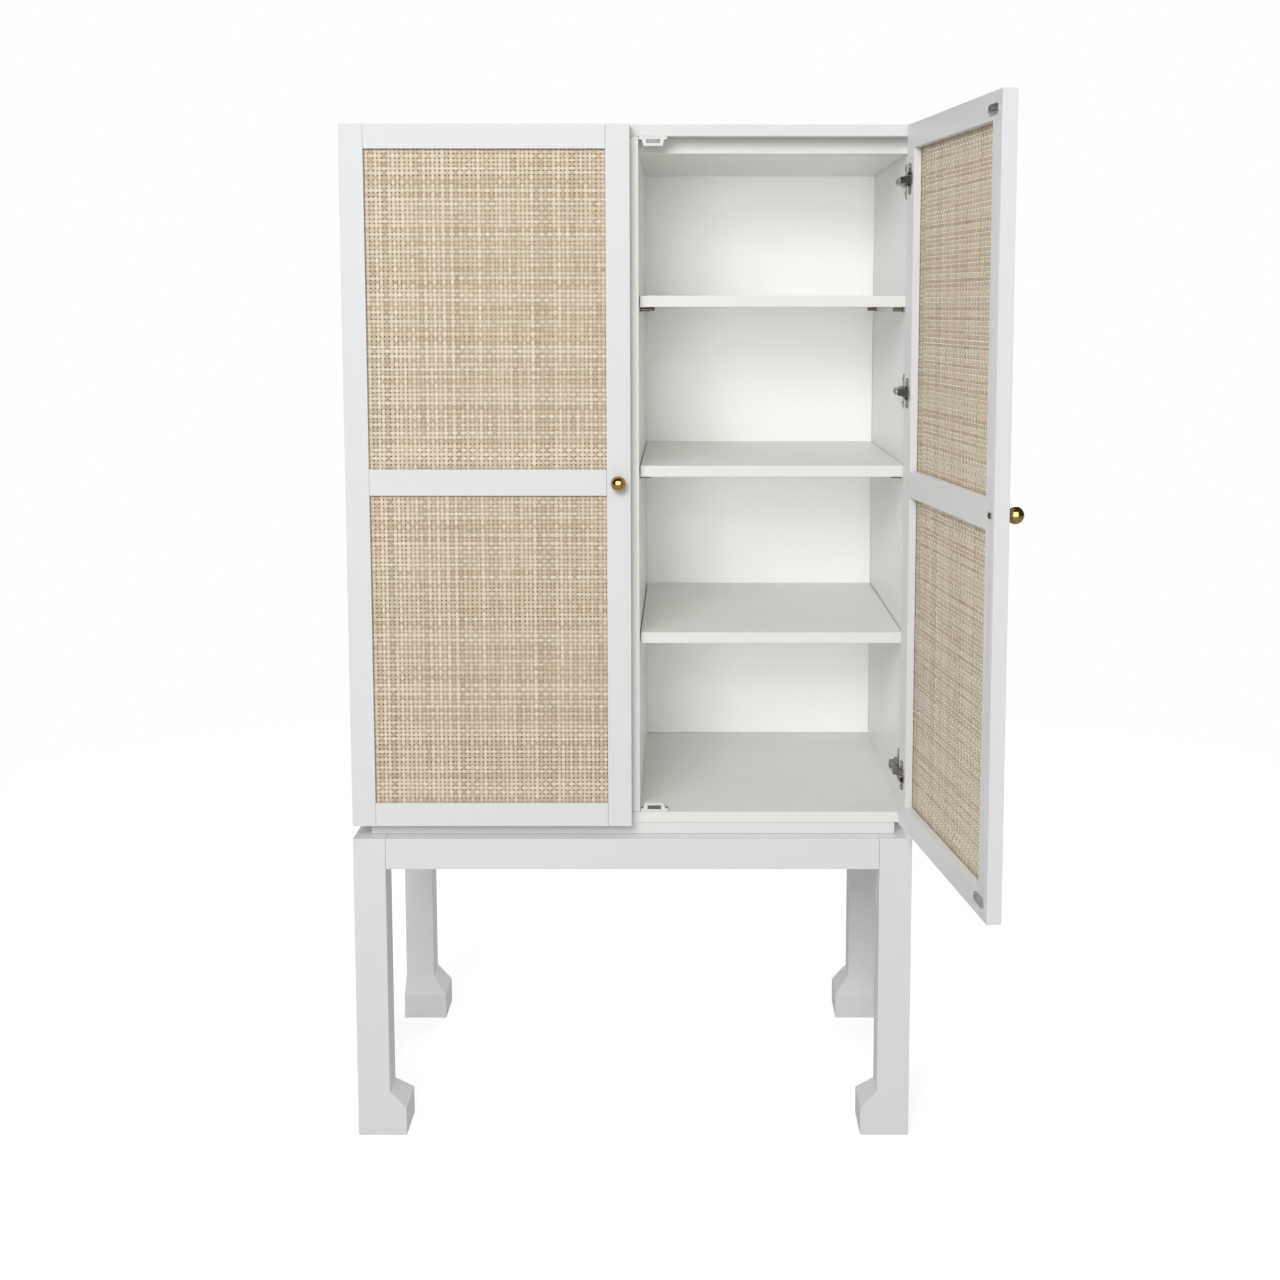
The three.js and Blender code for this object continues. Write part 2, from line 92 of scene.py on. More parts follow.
# ---- Knobs ----
KNOB_RADIUS = 12.2 * MM
KNOB_CENTRE = 14 * MM
KNOB_NECK_RADIUS = 5 * MM
KNOB_FOOT_RADIUS = 6.2 * MM
KNOB_FOOT_HEIGHT = 1.2 * MM
KNOB_SCREW_RADIUS = 4.5 * MM
KNOB_NECK_WAIST = 0.9
KNOB_NECK_FLARE = 1.06

# ---- Screw heads, as shares of their radius; the cross in degrees ----
SCREW_HEIGHT = 0.42
SCREW_RIM_WIDTH, SCREW_RIM_RISE = 0.18, 0.10
SCREW_CROWN_WIDTH, SCREW_CROWN_RISE = 0.22, 0.05
CROSS_REACH, CROSS_DEPTH = 0.5, 0.35
CROSS_HALF_ANGLE = 22.5

# ---- Hinge, catch and shelf fittings ----
WING_FROM_BOX_FRONT = 37 * MM
WING_SCREW_RISE = 20 * MM
WING_THICKNESS = 2.8 * MM
ARM_SCREWS_FROM_BOX_FRONT = (9 * MM, 46 * MM)
SPINE_FROM_BOX_FRONT = 27.5 * MM
SPINE_WIDTH = 7.6 * MM
SPINE_LENGTH = 26 * MM
SPINE_RISE = 1.8 * MM
SPINE_WALL = 1.5 * MM
SPINE_EDGE = 0.4
SPINE_POCKET = 0.6
CUP_FROM_EDGE = 17.5 * MM
CUP_SCREW_RISE = 19.5 * MM
CUP_FLANGE_TOP = 1.3 * MM
FITTING_SCREW_RADIUS = 3.2 * MM
STRIKE_SCREW_SPREAD = 15 * MM
STRIKE_SCREW_RADIUS = 1.85 * MM
STRIKE_SCREW_SEAT = 0.3 * MM
CATCH_SCREW_SPREAD = 20.2 * MM
CATCH_SCREW_RADIUS = 1.9 * MM
CATCH_EAR_HEIGHT = 5 * MM
MAGNET_WIDTH = 21 * MM
MAGNET_HEIGHT = 5.4 * MM
MAGNET_HALF_GAP = 1.1 * MM
MAGNET_DEPTH = 1.8 * MM
MAGNET_INSET = 0.1 * MM
POLE_RIM = 0.15 * MM
POLE_RISE = 0.35 * MM
PIN_RADIUS = 2.8 * MM
PIN_LENGTH = 17 * MM
PIN_COLLAR_RADIUS = 4.2 * MM
PIN_COLLAR_HEIGHT = 1.6 * MM
PIN_COLLAR_EDGE = 0.4 * MM
PIN_END = 3 * MM
PIN_END_STEPS = ((0.9 * MM, 0.84, 0.5 * MM), (0.4 * MM, 0.60, 0))
PIN_FROM_SHELF_END = 54 * MM
NAIL_RADIUS = 2.6 * MM
NAIL_HEIGHT = 0.8 * MM
NAIL_EDGE = 0.3 * MM
NAIL_SMOOTH_ANGLE = 50
NAIL_SPACING = 110 * MM
NAIL_FROM_EDGE = 12 * MM

# ---- Camera, light and floor ----
CAMERA_PLACE = (0.0434, -2.6761, 1.374)
CAMERA_PITCH = math.radians(6)
CAMERA_LENS = 46.53
CAMERA_SHIFT = (-0.0356, -0.1258)
ROOM_LIGHT = 0.42
ROOM_MIRRORED = 0.06
SOFTBOXES = {
    "key": {"place": (-0.9, -3.9, 3.0), "target": (0, 0, 0.95), "size": (2.4, 1.8), "power": 117},
    "rear": {"place": (0.6, 4.6, 2.6), "target": (0, 0, 0.9), "size": (2.6, 2.0), "power": 85},
    "interior": {"place": (-0.3, -3.6, 1.3), "target": (0.2, 0, 1.1), "size": (1.8, 3.0), "power": 92},
    "metal": {"place": (-0.1, -2.9, 1.9), "target": (0, 0, 1.1), "size": (4.6, 3.0), "power": 150},
}
FLOOR_LIFT = 0.60
FLOOR_FADE_START, FLOOR_FADE_END = 1.2, 3.0
FLOOR_RADIUS = 14
FLOOR_SIDES = 96

# ---- Tones ----
WHITE = (1, 1, 1, 1)
THIN_LACQUER = (0.66, 0.63, 0.57, 1)
LACQUER_DUST = (0.62, 0.60, 0.56, 1)
CANE_DARK = (0.50, 0.385, 0.265, 1)
CANE_MIDDLE = (0.795, 0.68, 0.525, 1)
CANE_LIGHT = (0.97, 0.885, 0.745, 1)
CANE_RIM = (0.36, 0.23, 0.12, 1)
PLASTIC_DARK, PLASTIC_LIGHT = (0.82, 0.82, 0.80, 1), (0.88, 0.88, 0.865, 1)
PLASTIC_DUST = (0.55, 0.53, 0.49, 1)
FLOOR_DARK, FLOOR_LIGHT = (0.58, 0.58, 0.58, 1), (0.62, 0.62, 0.62, 1)

# ---- Wear, grain and roughness; a share of 1 covers the finish under it ----
LACQUER_WEAR = 0.14
LACQUER_HAZE = 0.06
LACQUER_ROUGHNESS = (0.34, 0.44)
LACQUER_DUST_ROUGHNESS = 0.18
LACQUER_COAT = 0.15
LACQUER_COAT_ROUGHNESS = 0.22
ORANGE_PEEL = 0.06 * MM
CANE_OWN_TONE = 0.55
CANE_SLOW_TONE = (0.0, 0.3)
CANE_FIBRE_TONE = (-0.08, 0.16)
CANE_RIM_REACH = (0.24, 0.40)
CANE_RIM_SHARE = 0.62
CANE_ROUGHNESS = (0.48, 0.70)
CANE_FIBRE_DEPTH = 0.25 * MM
METAL_GRAIN = 0.04 * MM
PLASTIC_HAZE = 0.15
PLASTIC_ROUGHNESS = (0.46, 0.60)
PLASTIC_GRAIN = 0.05 * MM
FLOOR_ROUGHNESS = 0.8

# ---- The range that most values of a noise lie in ----
NOISE_RANGE = (0.3, 0.7)

# ---- Where a Mix node keeps its colour sockets, whose names are shared with its other kinds ----
MIX_FACTOR, MIX_FIRST, MIX_SECOND, MIX_RESULT = 0, 6, 7, 2


def add_camera():
    """A camera tipped a little down, and shifted only as far as the framing needs."""
    data = bpy.data.cameras.new("camera")
    data.lens = CAMERA_LENS
    data.shift_x, data.shift_y = CAMERA_SHIFT
    camera = bpy.data.objects.new("camera", data)
    camera.location = CAMERA_PLACE
    camera.rotation_euler = (math.radians(90) - CAMERA_PITCH, 0, 0)
    bpy.context.scene.collection.objects.link(camera)
    bpy.context.scene.camera = camera


add_camera()


# ---- Shader nodes ----
def add_node(tree, kind, inputs=None, **settings):
    """A new node. An input given as another node's output is linked, and any other value is set."""
    node = tree.nodes.new(kind)
    for setting, value in settings.items():
        setattr(node, setting, value)
    for name, value in (inputs or {}).items():
        if isinstance(value, bpy.types.NodeSocket):
            tree.links.new(value, node.inputs[name])
        else:
            node.inputs[name].default_value = value
    return node


def math_node(tree, operation, first, second=0.0):
    """The result of a Math node."""
    node = add_node(tree, "ShaderNodeMath", {0: first, 1: second}, operation=operation)
    return node.outputs["Value"]


def remap(tree, value, given, wanted):
    """Carries a value from one range, given as its low and high ends, to another, held within it."""
    inputs = {"Value": value, "From Min": given[0], "From Max": given[1]}
    inputs |= {"To Min": wanted[0], "To Max": wanted[1]}
    return add_node(tree, "ShaderNodeMapRange", inputs).outputs["Result"]


def blend_colours(tree, factor, first, second):
    """The first colour, turning into the second as the factor rises to 1."""
    inputs = {MIX_FACTOR: factor, MIX_FIRST: first, MIX_SECOND: second}
    return add_node(tree, "ShaderNodeMix", inputs, data_type="RGBA").outputs[MIX_RESULT]


def new_group(name, inputs, outputs):
    """A shader node group with float inputs, given with their starting values, and float outputs."""
    tree = bpy.data.node_groups.new(name, "ShaderNodeTree")
    for socket_name, value in inputs.items():
        socket = tree.interface.new_socket(socket_name, in_out="INPUT", socket_type="NodeSocketFloat")
        socket.default_value = value
    for socket_name in outputs:
        tree.interface.new_socket(socket_name, in_out="OUTPUT", socket_type="NodeSocketFloat")
    start = tree.nodes.new("NodeGroupInput")
    end = tree.nodes.new("NodeGroupOutput")
    return tree, start.outputs, end.inputs


def place_group(tree, group, **values):
    """A group in a material, with its own values; spaces in input names are written as underscores."""
    node = add_node(tree, "ShaderNodeGroup", node_tree=group)
    for name, value in values.items():
        node.inputs[name.replace("_", " ")].default_value = value
    return node.outputs


def make_mottle_group():
    """The slight unevenness of any finish: a broad drift, and a fine one."""
    tree, given, result = new_group("finish_mottle", {"Broad": 3.0, "Fine": 60.0}, ["Drift", "Speck"])
    place = add_node(tree, "ShaderNodeTexCoord").outputs["Object"]
    for size, out, detail in (("Broad", "Drift", 3.0), ("Fine", "Speck", 4.0)):
        inputs = {"Vector": place, "Scale": given[size], "Detail": detail, "Roughness": 0.55}
        noise = add_node(tree, "ShaderNodeTexNoise", inputs)
        tree.links.new(noise.outputs["Fac"], result[out])
    return tree


def make_edge_group():
    """A mask of the outer edges, where handling rubs the finish first, broken up along the edge."""
    tree, given, result = new_group("rubbed_edges", {"Radius": 0.002, "Breakup": 40.0}, ["Mask"])
    rounded = add_node(tree, "ShaderNodeBevel", {"Radius": given["Radius"]}, samples=4)
    flat = add_node(tree, "ShaderNodeNewGeometry")
    inputs = {0: rounded.outputs["Normal"], 1: flat.outputs["True Normal"]}
    likeness = add_node(tree, "ShaderNodeVectorMath", inputs, operation="DOT_PRODUCT")
    edge = remap(tree, likeness.outputs["Value"], (0.97, 0.72), (0.0, 1.0))
    place = add_node(tree, "ShaderNodeTexCoord").outputs["Object"]
    inputs = {"Vector": place, "Scale": given["Breakup"], "Detail": 5.0}
    broken = add_node(tree, "ShaderNodeTexNoise", inputs).outputs["Fac"]
    patches = remap(tree, broken, (0.42, 0.66), (0.25, 1.0))
    tree.links.new(math_node(tree, "MULTIPLY", edge, patches), result["Mask"])
    return tree


def make_dust_group():
    """A mask of fine dust, lying only on faces that look up."""
    tree, given, result = new_group("settled_dust", {"Scale": 25.0}, ["Mask"])
    normal = add_node(tree, "ShaderNodeNewGeometry").outputs["Normal"]
    rise = add_node(tree, "ShaderNodeSeparateXYZ", {"Vector": normal}).outputs["Z"]
    level = remap(tree, rise, (0.75, 0.98), (0.0, 1.0))
    place = add_node(tree, "ShaderNodeTexCoord").outputs["Object"]
    inputs = {"Vector": place, "Scale": given["Scale"], "Detail": 6.0, "Roughness": 0.7}
    drifts = add_node(tree, "ShaderNodeTexNoise", inputs).outputs["Fac"]
    patches = remap(tree, drifts, (0.4, 0.7), (0.3, 1.0))
    tree.links.new(math_node(tree, "MULTIPLY", level, patches), result["Mask"])
    return tree


MOTTLE = make_mottle_group()
EDGES = make_edge_group()
DUST = make_dust_group()


# ---- Materials ----
def new_material(name):
    """A material, its node tree, and the inputs of its Principled shader."""
    material = bpy.data.materials.new(name)
    material.use_nodes = True
    tree = material.node_tree
    return material, tree, tree.nodes["Principled BSDF"].inputs


def add_bump(tree, shader, height, distance, strength=1.0):
    """Relief from a height of 0 to 1, over a distance in metres."""
    inputs = {"Height": height, "Distance": distance, "Strength": strength}
    tree.links.new(add_node(tree, "ShaderNodeBump", inputs).outputs["Normal"], shader["Normal"])


def make_lacquer(name, shade, tint):
    """Sprayed white lacquer: satin, with faint orange peel, thinner and warmer along its edges."""
    material, tree, shader = new_material(name)
    mottle = place_group(tree, MOTTLE, Broad=2.2, Fine=38.0)
    peel = place_group(tree, MOTTLE, Broad=420.0, Fine=1400.0)
    edge = place_group(tree, EDGES, Radius=0.0012, Breakup=55.0)["Mask"]
    dust = place_group(tree, DUST, Scale=18.0)["Mask"]
    film = blend_colours(tree, mottle["Drift"], shade, tint)
    speck = remap(tree, mottle["Speck"], (0.35, 0.75), (0.0, 0.3))
    film = blend_colours(tree, speck, film, shade)
    thin = math_node(tree, "MULTIPLY", edge, LACQUER_WEAR)
    film = blend_colours(tree, thin, film, THIN_LACQUER)
    haze = math_node(tree, "MULTIPLY", dust, LACQUER_HAZE)
    film = blend_colours(tree, haze, film, LACQUER_DUST)
    tree.links.new(film, shader["Base Color"])
    clean = remap(tree, mottle["Speck"], NOISE_RANGE, LACQUER_ROUGHNESS)
    dull = math_node(tree, "MULTIPLY", dust, LACQUER_DUST_ROUGHNESS)
    tree.links.new(math_node(tree, "ADD", clean, dull), shader["Roughness"])
    shader["Coat Weight"].default_value = LACQUER_COAT
    shader["Coat Roughness"].default_value = LACQUER_COAT_ROUGHNESS
    add_bump(tree, shader, peel["Drift"], ORANGE_PEEL, 0.35)
    return material


def make_cane():
    """Split cane: each strand has its own tone, drifting along it, with long fibres and dark rims.

    The UV map runs across the strands in U, one unit a strand, and along them in V.
    """
    material, tree, shader = new_material("woven_cane")
    uv = add_node(tree, "ShaderNodeUVMap", uv_map="strands").outputs["UV"]
    split = add_node(tree, "ShaderNodeSeparateXYZ", {"Vector": uv})
    number = math_node(tree, "FLOOR", split.outputs["X"])
    own = add_node(tree, "ShaderNodeTexWhiteNoise", {"W": number}, noise_dimensions="1D")
    within = math_node(tree, "FRACT", split.outputs["X"])
    from_middle = math_node(tree, "ABSOLUTE", math_node(tree, "SUBTRACT", within, 0.5))
    slow = add_node(tree, "ShaderNodeCombineXYZ", {
        "X": math_node(tree, "MULTIPLY", number, 7.31),
        "Y": math_node(tree, "MULTIPLY", split.outputs["Y"], 0.12),
    })
    drift = add_node(tree, "ShaderNodeTexNoise", {"Vector": slow.outputs[0], "Scale": 1.0, "Detail": 3.0})
    long = add_node(tree, "ShaderNodeCombineXYZ", {
        "X": math_node(tree, "MULTIPLY", split.outputs["X"], 11.0),
        "Y": math_node(tree, "MULTIPLY", split.outputs["Y"], 0.45),
        "Z": number,
    })
    fibre = add_node(tree, "ShaderNodeTexNoise", {"Vector": long.outputs[0], "Scale": 1.0, "Detail": 4.0})
    own_tone = math_node(tree, "MULTIPLY", own.outputs["Value"], CANE_OWN_TONE)
    slow_tone = remap(tree, drift.outputs["Fac"], NOISE_RANGE, CANE_SLOW_TONE)
    fibre_tone = remap(tree, fibre.outputs["Fac"], NOISE_RANGE, CANE_FIBRE_TONE)
    tone = math_node(tree, "ADD", math_node(tree, "ADD", own_tone, slow_tone), fibre_tone)
    ramp = add_node(tree, "ShaderNodeValToRGB", {"Fac": tone})
    stops = ramp.color_ramp.elements
    stops[0].color = CANE_DARK
    stops[1].color = CANE_LIGHT
    middle = stops.new(0.5)
    middle.color = CANE_MIDDLE
    rim = remap(tree, from_middle, CANE_RIM_REACH, (0.0, CANE_RIM_SHARE))
    colour = blend_colours(tree, rim, ramp.outputs["Color"], CANE_RIM)
    tree.links.new(colour, shader["Base Color"])
    tree.links.new(remap(tree, fibre.outputs["Fac"], NOISE_RANGE, CANE_ROUGHNESS), shader["Roughness"])
    add_bump(tree, shader, fibre.outputs["Fac"], CANE_FIBRE_DEPTH, 0.6)
    return material


def make_metal(name, dark, light, worn, tarnish, roughness, wear, tarnished):
    """Plated or polished metal: two tones drifting, tarnish in patches, and brighter rubbed edges."""
    material, tree, shader = new_material(name)
    mottle = place_group(tree, MOTTLE, Broad=45.0, Fine=320.0)
    edge = place_group(tree, EDGES, Radius=0.0006, Breakup=260.0)["Mask"]
    colour = blend_colours(tree, mottle["Drift"], dark, light)
    patches = remap(tree, mottle["Speck"], (0.5, 0.72), (0.0, tarnished))
    colour = blend_colours(tree, patches, colour, tarnish)
    rub = math_node(tree, "MULTIPLY", edge, wear)
    tree.links.new(blend_colours(tree, rub, colour, worn), shader["Base Color"])
    shader["Metallic"].default_value = 1.0
    tree.links.new(remap(tree, mottle["Speck"], NOISE_RANGE, roughness), shader["Roughness"])
    add_bump(tree, shader, mottle["Speck"], METAL_GRAIN, 0.3)
    return material


def make_plastic():
    """Moulded white plastic with a fine spark-eroded grain."""
    material, tree, shader = new_material("moulded_white")
    mottle = place_group(tree, MOTTLE, Broad=30.0, Fine=1500.0)
    dust = place_group(tree, DUST, Scale=60.0)["Mask"]
    colour = blend_colours(tree, mottle["Drift"], PLASTIC_DARK, PLASTIC_LIGHT)
    haze = math_node(tree, "MULTIPLY", dust, PLASTIC_HAZE)
    tree.links.new(blend_colours(tree, haze, colour, PLASTIC_DUST), shader["Base Color"])
    tree.links.new(remap(tree, mottle["Speck"], NOISE_RANGE, PLASTIC_ROUGHNESS), shader["Roughness"])
    add_bump(tree, shader, mottle["Speck"], PLASTIC_GRAIN, 0.4)
    return material


def make_floor_paper():
    """Pale seamless paper that brightens to plain white away from the cabinet."""
    material, tree, shader = new_material("pale_floor")
    mottle = place_group(tree, MOTTLE, Broad=0.8, Fine=90.0)
    colour = blend_colours(tree, mottle["Speck"], FLOOR_DARK, FLOOR_LIGHT)
    place = add_node(tree, "ShaderNodeTexCoord").outputs["Object"]
    reach = add_node(tree, "ShaderNodeVectorMath", {0: place}, operation="LENGTH").outputs["Value"]
    away = remap(tree, reach, (FLOOR_FADE_START, FLOOR_FADE_END), (0.0, 1.0))
    tree.links.new(colour, shader["Base Color"])
    shader["Roughness"].default_value = FLOOR_ROUGHNESS
    seen = add_node(tree, "ShaderNodeLightPath").outputs["Is Camera Ray"]
    shader["Emission Color"].default_value = WHITE
    tree.links.new(math_node(tree, "MULTIPLY", seen, FLOOR_LIFT), shader["Emission Strength"])
    glow = add_node(tree, "ShaderNodeEmission", {"Color": WHITE, "Strength": 1.0})
    mix = add_node(tree, "ShaderNodeMixShader", {"Fac": math_node(tree, "MULTIPLY", away, seen)})
    tree.links.new(tree.nodes["Principled BSDF"].outputs[0], mix.inputs[1])
    tree.links.new(glow.outputs[0], mix.inputs[2])
    tree.links.new(mix.outputs[0], tree.nodes["Material Output"].inputs["Surface"])
    return material


LACQUER = make_lacquer("white_lacquer", shade=(0.836, 0.845, 0.856, 1), tint=(0.866, 0.873, 0.882, 1))
# The same white lacquer inside the compartments, painted lighter and warmer: painted light that stands in
# for the light filling the compartments.
INSIDE_LACQUER_PAINTED_LIGHTER = make_lacquer(
    "inside_lacquer_painted_lighter", shade=(0.912, 0.915, 0.882, 1), tint=(0.938, 0.942, 0.918, 1),
)
CANE = make_cane()
BRASS = make_metal(
    "polished_brass", dark=(0.44, 0.27, 0.10, 1), light=(0.56, 0.37, 0.155, 1),
    worn=(0.80, 0.62, 0.34, 1), tarnish=(0.24, 0.13, 0.045, 1),
    roughness=(0.09, 0.18), wear=0.4, tarnished=0.3,
)
NICKEL = make_metal(
    "dull_nickel", dark=(0.24, 0.225, 0.205, 1), light=(0.38, 0.36, 0.335, 1),
    worn=(0.70, 0.68, 0.64, 1), tarnish=(0.13, 0.115, 0.10, 1),
    roughness=(0.24, 0.40), wear=0.7, tarnished=0.3,
)
STEEL = make_metal(
    "zinc_plated_steel", dark=(0.50, 0.52, 0.53, 1), light=(0.66, 0.68, 0.69, 1),
    worn=(0.85, 0.86, 0.86, 1), tarnish=(0.30, 0.30, 0.29, 1),
    roughness=(0.24, 0.40), wear=0.6, tarnished=0.3,
)
BRONZE = make_metal(
    "dark_bronze", dark=(0.16, 0.13, 0.10, 1), light=(0.25, 0.21, 0.165, 1),
    worn=(0.52, 0.43, 0.31, 1), tarnish=(0.08, 0.065, 0.05, 1),
    roughness=(0.30, 0.45), wear=0.7, tarnished=0.4,
)
MAGNET_STEEL = make_metal(
    "magnet_steel", dark=(0.13, 0.135, 0.14, 1), light=(0.17, 0.175, 0.18, 1),
    worn=(0.40, 0.41, 0.42, 1), tarnish=(0.08, 0.08, 0.08, 1),
    roughness=(0.35, 0.50), wear=0.5, tarnished=0.3,
)
PLASTIC = make_plastic()


# ---- Modelling helpers ----
def edit(piece, elements="FACE"):
    """Opens a piece in edit mode, with its faces, edges or points selectable."""
    bpy.context.view_layer.objects.active = piece
    bpy.ops.object.mode_set(mode="EDIT")
    bpy.ops.mesh.select_mode(type=elements)


def stop_editing():
    bpy.ops.object.mode_set(mode="OBJECT")


def clear_selection():
    bpy.ops.object.select_all(action="DESELECT")


def select_faces(wanted):
    """In edit mode, selects just the faces that the test accepts."""
    mesh = bmesh.from_edit_mesh(bpy.context.object.data)
    for face in mesh.faces:
        face.select_set(bool(wanted(face)))
    mesh.select_flush_mode()
    bmesh.update_edit_mesh(bpy.context.object.data)


def select_points(wanted):
    """In edit mode with points selectable, selects just the points that the test accepts."""
    mesh = bmesh.from_edit_mesh(bpy.context.object.data)
    for point in mesh.verts:
        point.select_set(bool(wanted(point.co)))
    mesh.select_flush_mode()
    bmesh.update_edit_mesh(bpy.context.object.data)


def looking(direction, likeness=FACING):
    """A test for faces that look along a direction."""
    return lambda face: face.normal.dot(direction) > likeness


def extrude(offset, size=1.0, centre=(0, 0, 0)):
    """Extrudes the selection by an offset, and then sizes it about a centre."""
    bpy.ops.mesh.extrude_region_move(TRANSFORM_OT_translate={"value": offset})
    if size != 1.0:
        bpy.ops.transform.resize(value=(size, size, size), center_override=centre)


def name_new_piece(name):
    """Names the primitive that was just added."""
    piece = bpy.context.object
    piece.name = name
    piece.data.name = name
    return piece


def add_disc(name, sides, radius, height, turn=0.0):
    """A short cylinder standing on the origin, ready to be shaped."""
    clear_selection()
    bpy.ops.mesh.primitive_cylinder_add(
        vertices=sides, radius=radius, depth=height, location=(0, 0, height / 2), rotation=(0, 0, turn),
    )
    disc = name_new_piece(name)
    bpy.ops.object.transform_apply(location=True, rotation=True, scale=False)
    return disc


def smooth(piece, degrees=SMOOTH_ANGLE):
    """Shades a piece smooth, apart from the edges sharper than an angle."""
    clear_selection()
    piece.select_set(True)
    bpy.context.view_layer.objects.active = piece
    bpy.ops.object.shade_smooth_by_angle(angle=math.radians(degrees))
    piece.select_set(False)


def apply_modifiers(piece):
    """Makes all of a piece's modifiers part of its mesh."""
    clear_selection()
    piece.select_set(True)
    bpy.context.view_layer.objects.active = piece
    for modifier in list(piece.modifiers):
        bpy.ops.object.modifier_apply(modifier=modifier.name)
    piece.select_set(False)


def repeat(piece, step, count, merged=False):
    """Lines up copies of a piece's mesh, each a step from the last, and merged where they meet."""
    row = piece.modifiers.new("row", "ARRAY")
    row.use_relative_offset = False
    row.use_constant_offset = True
    row.constant_offset_displace = step
    row.count = count
    row.use_merge_vertices = merged
    row.merge_threshold = WELD_GAP
    apply_modifiers(piece)


def copy_piece(piece, name, matrix):
    """A copy with its own mesh, which is carried to its place by a matrix."""
    copy = piece.copy()
    copy.data = piece.data.copy()
    copy.name = name
    copy.data.name = name
    bpy.context.scene.collection.objects.link(copy)
    copy.data.transform(matrix)
    return copy


def join(pieces, name):
    """Makes several pieces one object of separate solids."""
    clear_selection()
    for piece in pieces:
        piece.select_set(True)
    bpy.context.view_layer.objects.active = pieces[0]
    bpy.ops.object.join()
    pieces[0].select_set(False)
    pieces[0].name = name
    pieces[0].data.name = name
    return pieces[0]


def remove(piece):
    bpy.data.objects.remove(piece, do_unlink=True)


def paint(piece, material):
    piece.data.materials.clear()
    piece.data.materials.append(material)


def finish_piece(piece, material, body):
    """Gives a piece its material and the body it moves with."""
    paint(piece, material)
    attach(piece, body)


def facing(direction):
    """The turn that points a piece drawn facing up along a direction."""
    return Vector(direction).to_track_quat("Z", "Y").to_matrix().to_4x4()


# ---- Where the doors are ----
MIDDLE_X = sum(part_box("centre_divider"), Vector()).x / 2
HINGE_EDGE_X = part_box("left_door_hinge_stile")[0].x
OPENING_NEAR_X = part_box("left_door_hinge_stile")[1].x
OPENING_FAR_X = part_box("left_door_free_stile")[0].x
DOOR_FRONT_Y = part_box("left_door_free_stile")[0].y
DOOR_INSIDE_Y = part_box("left_door_free_stile")[1].y
JOINTS = {joint["child"]: joint for joint in frame["joints"]}
SIDES = {"left": 1, "right": -1}


def door_turn(side):
    """The turn about the hinge axis that takes a closed door to the angle it stands at."""
    joint = JOINTS[f"{side}_door"]
    axis_place = Matrix.Translation(joint["pos_m"])
    angle = math.radians(-joint["range_deg"][0]) * joint["axis"][2]
    return axis_place @ Matrix.Rotation(angle, 4, "Z") @ axis_place.inverted()


def on_door(side, place):
    """Carries a piece drawn about the origin to its place on a door.

    The place is given on the closed left door, and is mirrored for the right one.
    """
    x, y, z = place
    if side == "right":
        x = 2 * MIDDLE_X - x
    return door_turn(side) @ Matrix.Translation((x, y, z))


# ---- Cane ----
def make_strands(name, along, across, count, crossings, over):
    """Strands side by side, each passing over and under its crossings.

    The first strand and the first crossing are centred half a pitch from the origin. A strand is a
    flat lens in section, level over each crossing and sloping between one crossing and the next. It
    starts before the first crossing and runs past the last, and the ends are trimmed off later.
    """
    clear_selection()
    tilt = (0, 0, 0) if along == UP else (0, math.radians(90), 0)
    bpy.ops.mesh.primitive_circle_add(vertices=4, radius=0.5, rotation=tilt)
    strand = name_new_piece(name)
    bpy.ops.object.transform_apply(location=False, rotation=True, scale=False)
    edit(strand, "EDGE")
    bpy.ops.mesh.select_all(action="SELECT")
    section = along + across * STRAND_WIDTH + INWARD * STRAND_THICKNESS
    bpy.ops.transform.resize(value=section, center_override=(0, 0, 0))
    rise = STRAND_RISE if over else -STRAND_RISE
    start = along * (CANE_PITCH * -STRAND_LEAD) + across * (CANE_PITCH / 2) - INWARD * rise
    bpy.ops.transform.translate(value=start)
    level = along * (CANE_PITCH / 2)
    for slope in (0, 2 * rise, 0, -2 * rise):
        extrude(level + INWARD * slope)
    stop_editing()
    repeat(strand, along * 2 * CANE_PITCH, crossings // 2 + SPARE_PAIRS, merged=True)
    neighbour = copy_piece(strand, name + "_next", Matrix.Translation((across - along) * CANE_PITCH))
    strand = join([strand, neighbour], name)
    repeat(strand, across * 2 * CANE_PITCH, count // 2)
    return strand


def trim(piece, point, outward):
    """Cuts a piece off at a plane and closes the cut."""
    edit(piece)
    bpy.ops.mesh.select_all(action="SELECT")
    bpy.ops.mesh.bisect(plane_co=point, plane_no=outward, use_fill=True, clear_outer=True)
    stop_editing()


def map_strands(piece, number_axis, along_axis, first):
    """The UV map: strand number across in U, and distance in pitches along it in V.

    The axes are 0 for X and 2 for Z, and the strands are numbered from the first.
    """
    layer = piece.data.uv_layers.new(name="strands")
    for loop in piece.data.loops:
        place = piece.data.vertices[loop.vertex_index].co / CANE_PITCH
        layer.data[loop.index].uv = (first + place[number_axis], place[along_axis])


def let_wander(strands, across, along):
    """Moves strands a little sideways along their length, so that some gaps close and others open."""
    stretch = bpy.data.objects.new("wander", None)
    stretch.scale = Vector((1, 1, 1)) + along * (WANDER_LENGTH - 1)
    bpy.context.scene.collection.objects.link(stretch)
    bpy.context.view_layer.update()
    texture = bpy.data.textures.new("wander", "CLOUDS")
    texture.noise_scale = WANDER_PITCHES * CANE_PITCH
    wander = strands.modifiers.new("wander", "DISPLACE")
    wander.texture = texture
    wander.texture_coords = "OBJECT"
    wander.texture_coords_object = stretch
    wander.direction = "X" if across == ACROSS else "Z"
    wander.strength = STRAND_WANDER
    apply_modifiers(strands)
    remove(stretch)


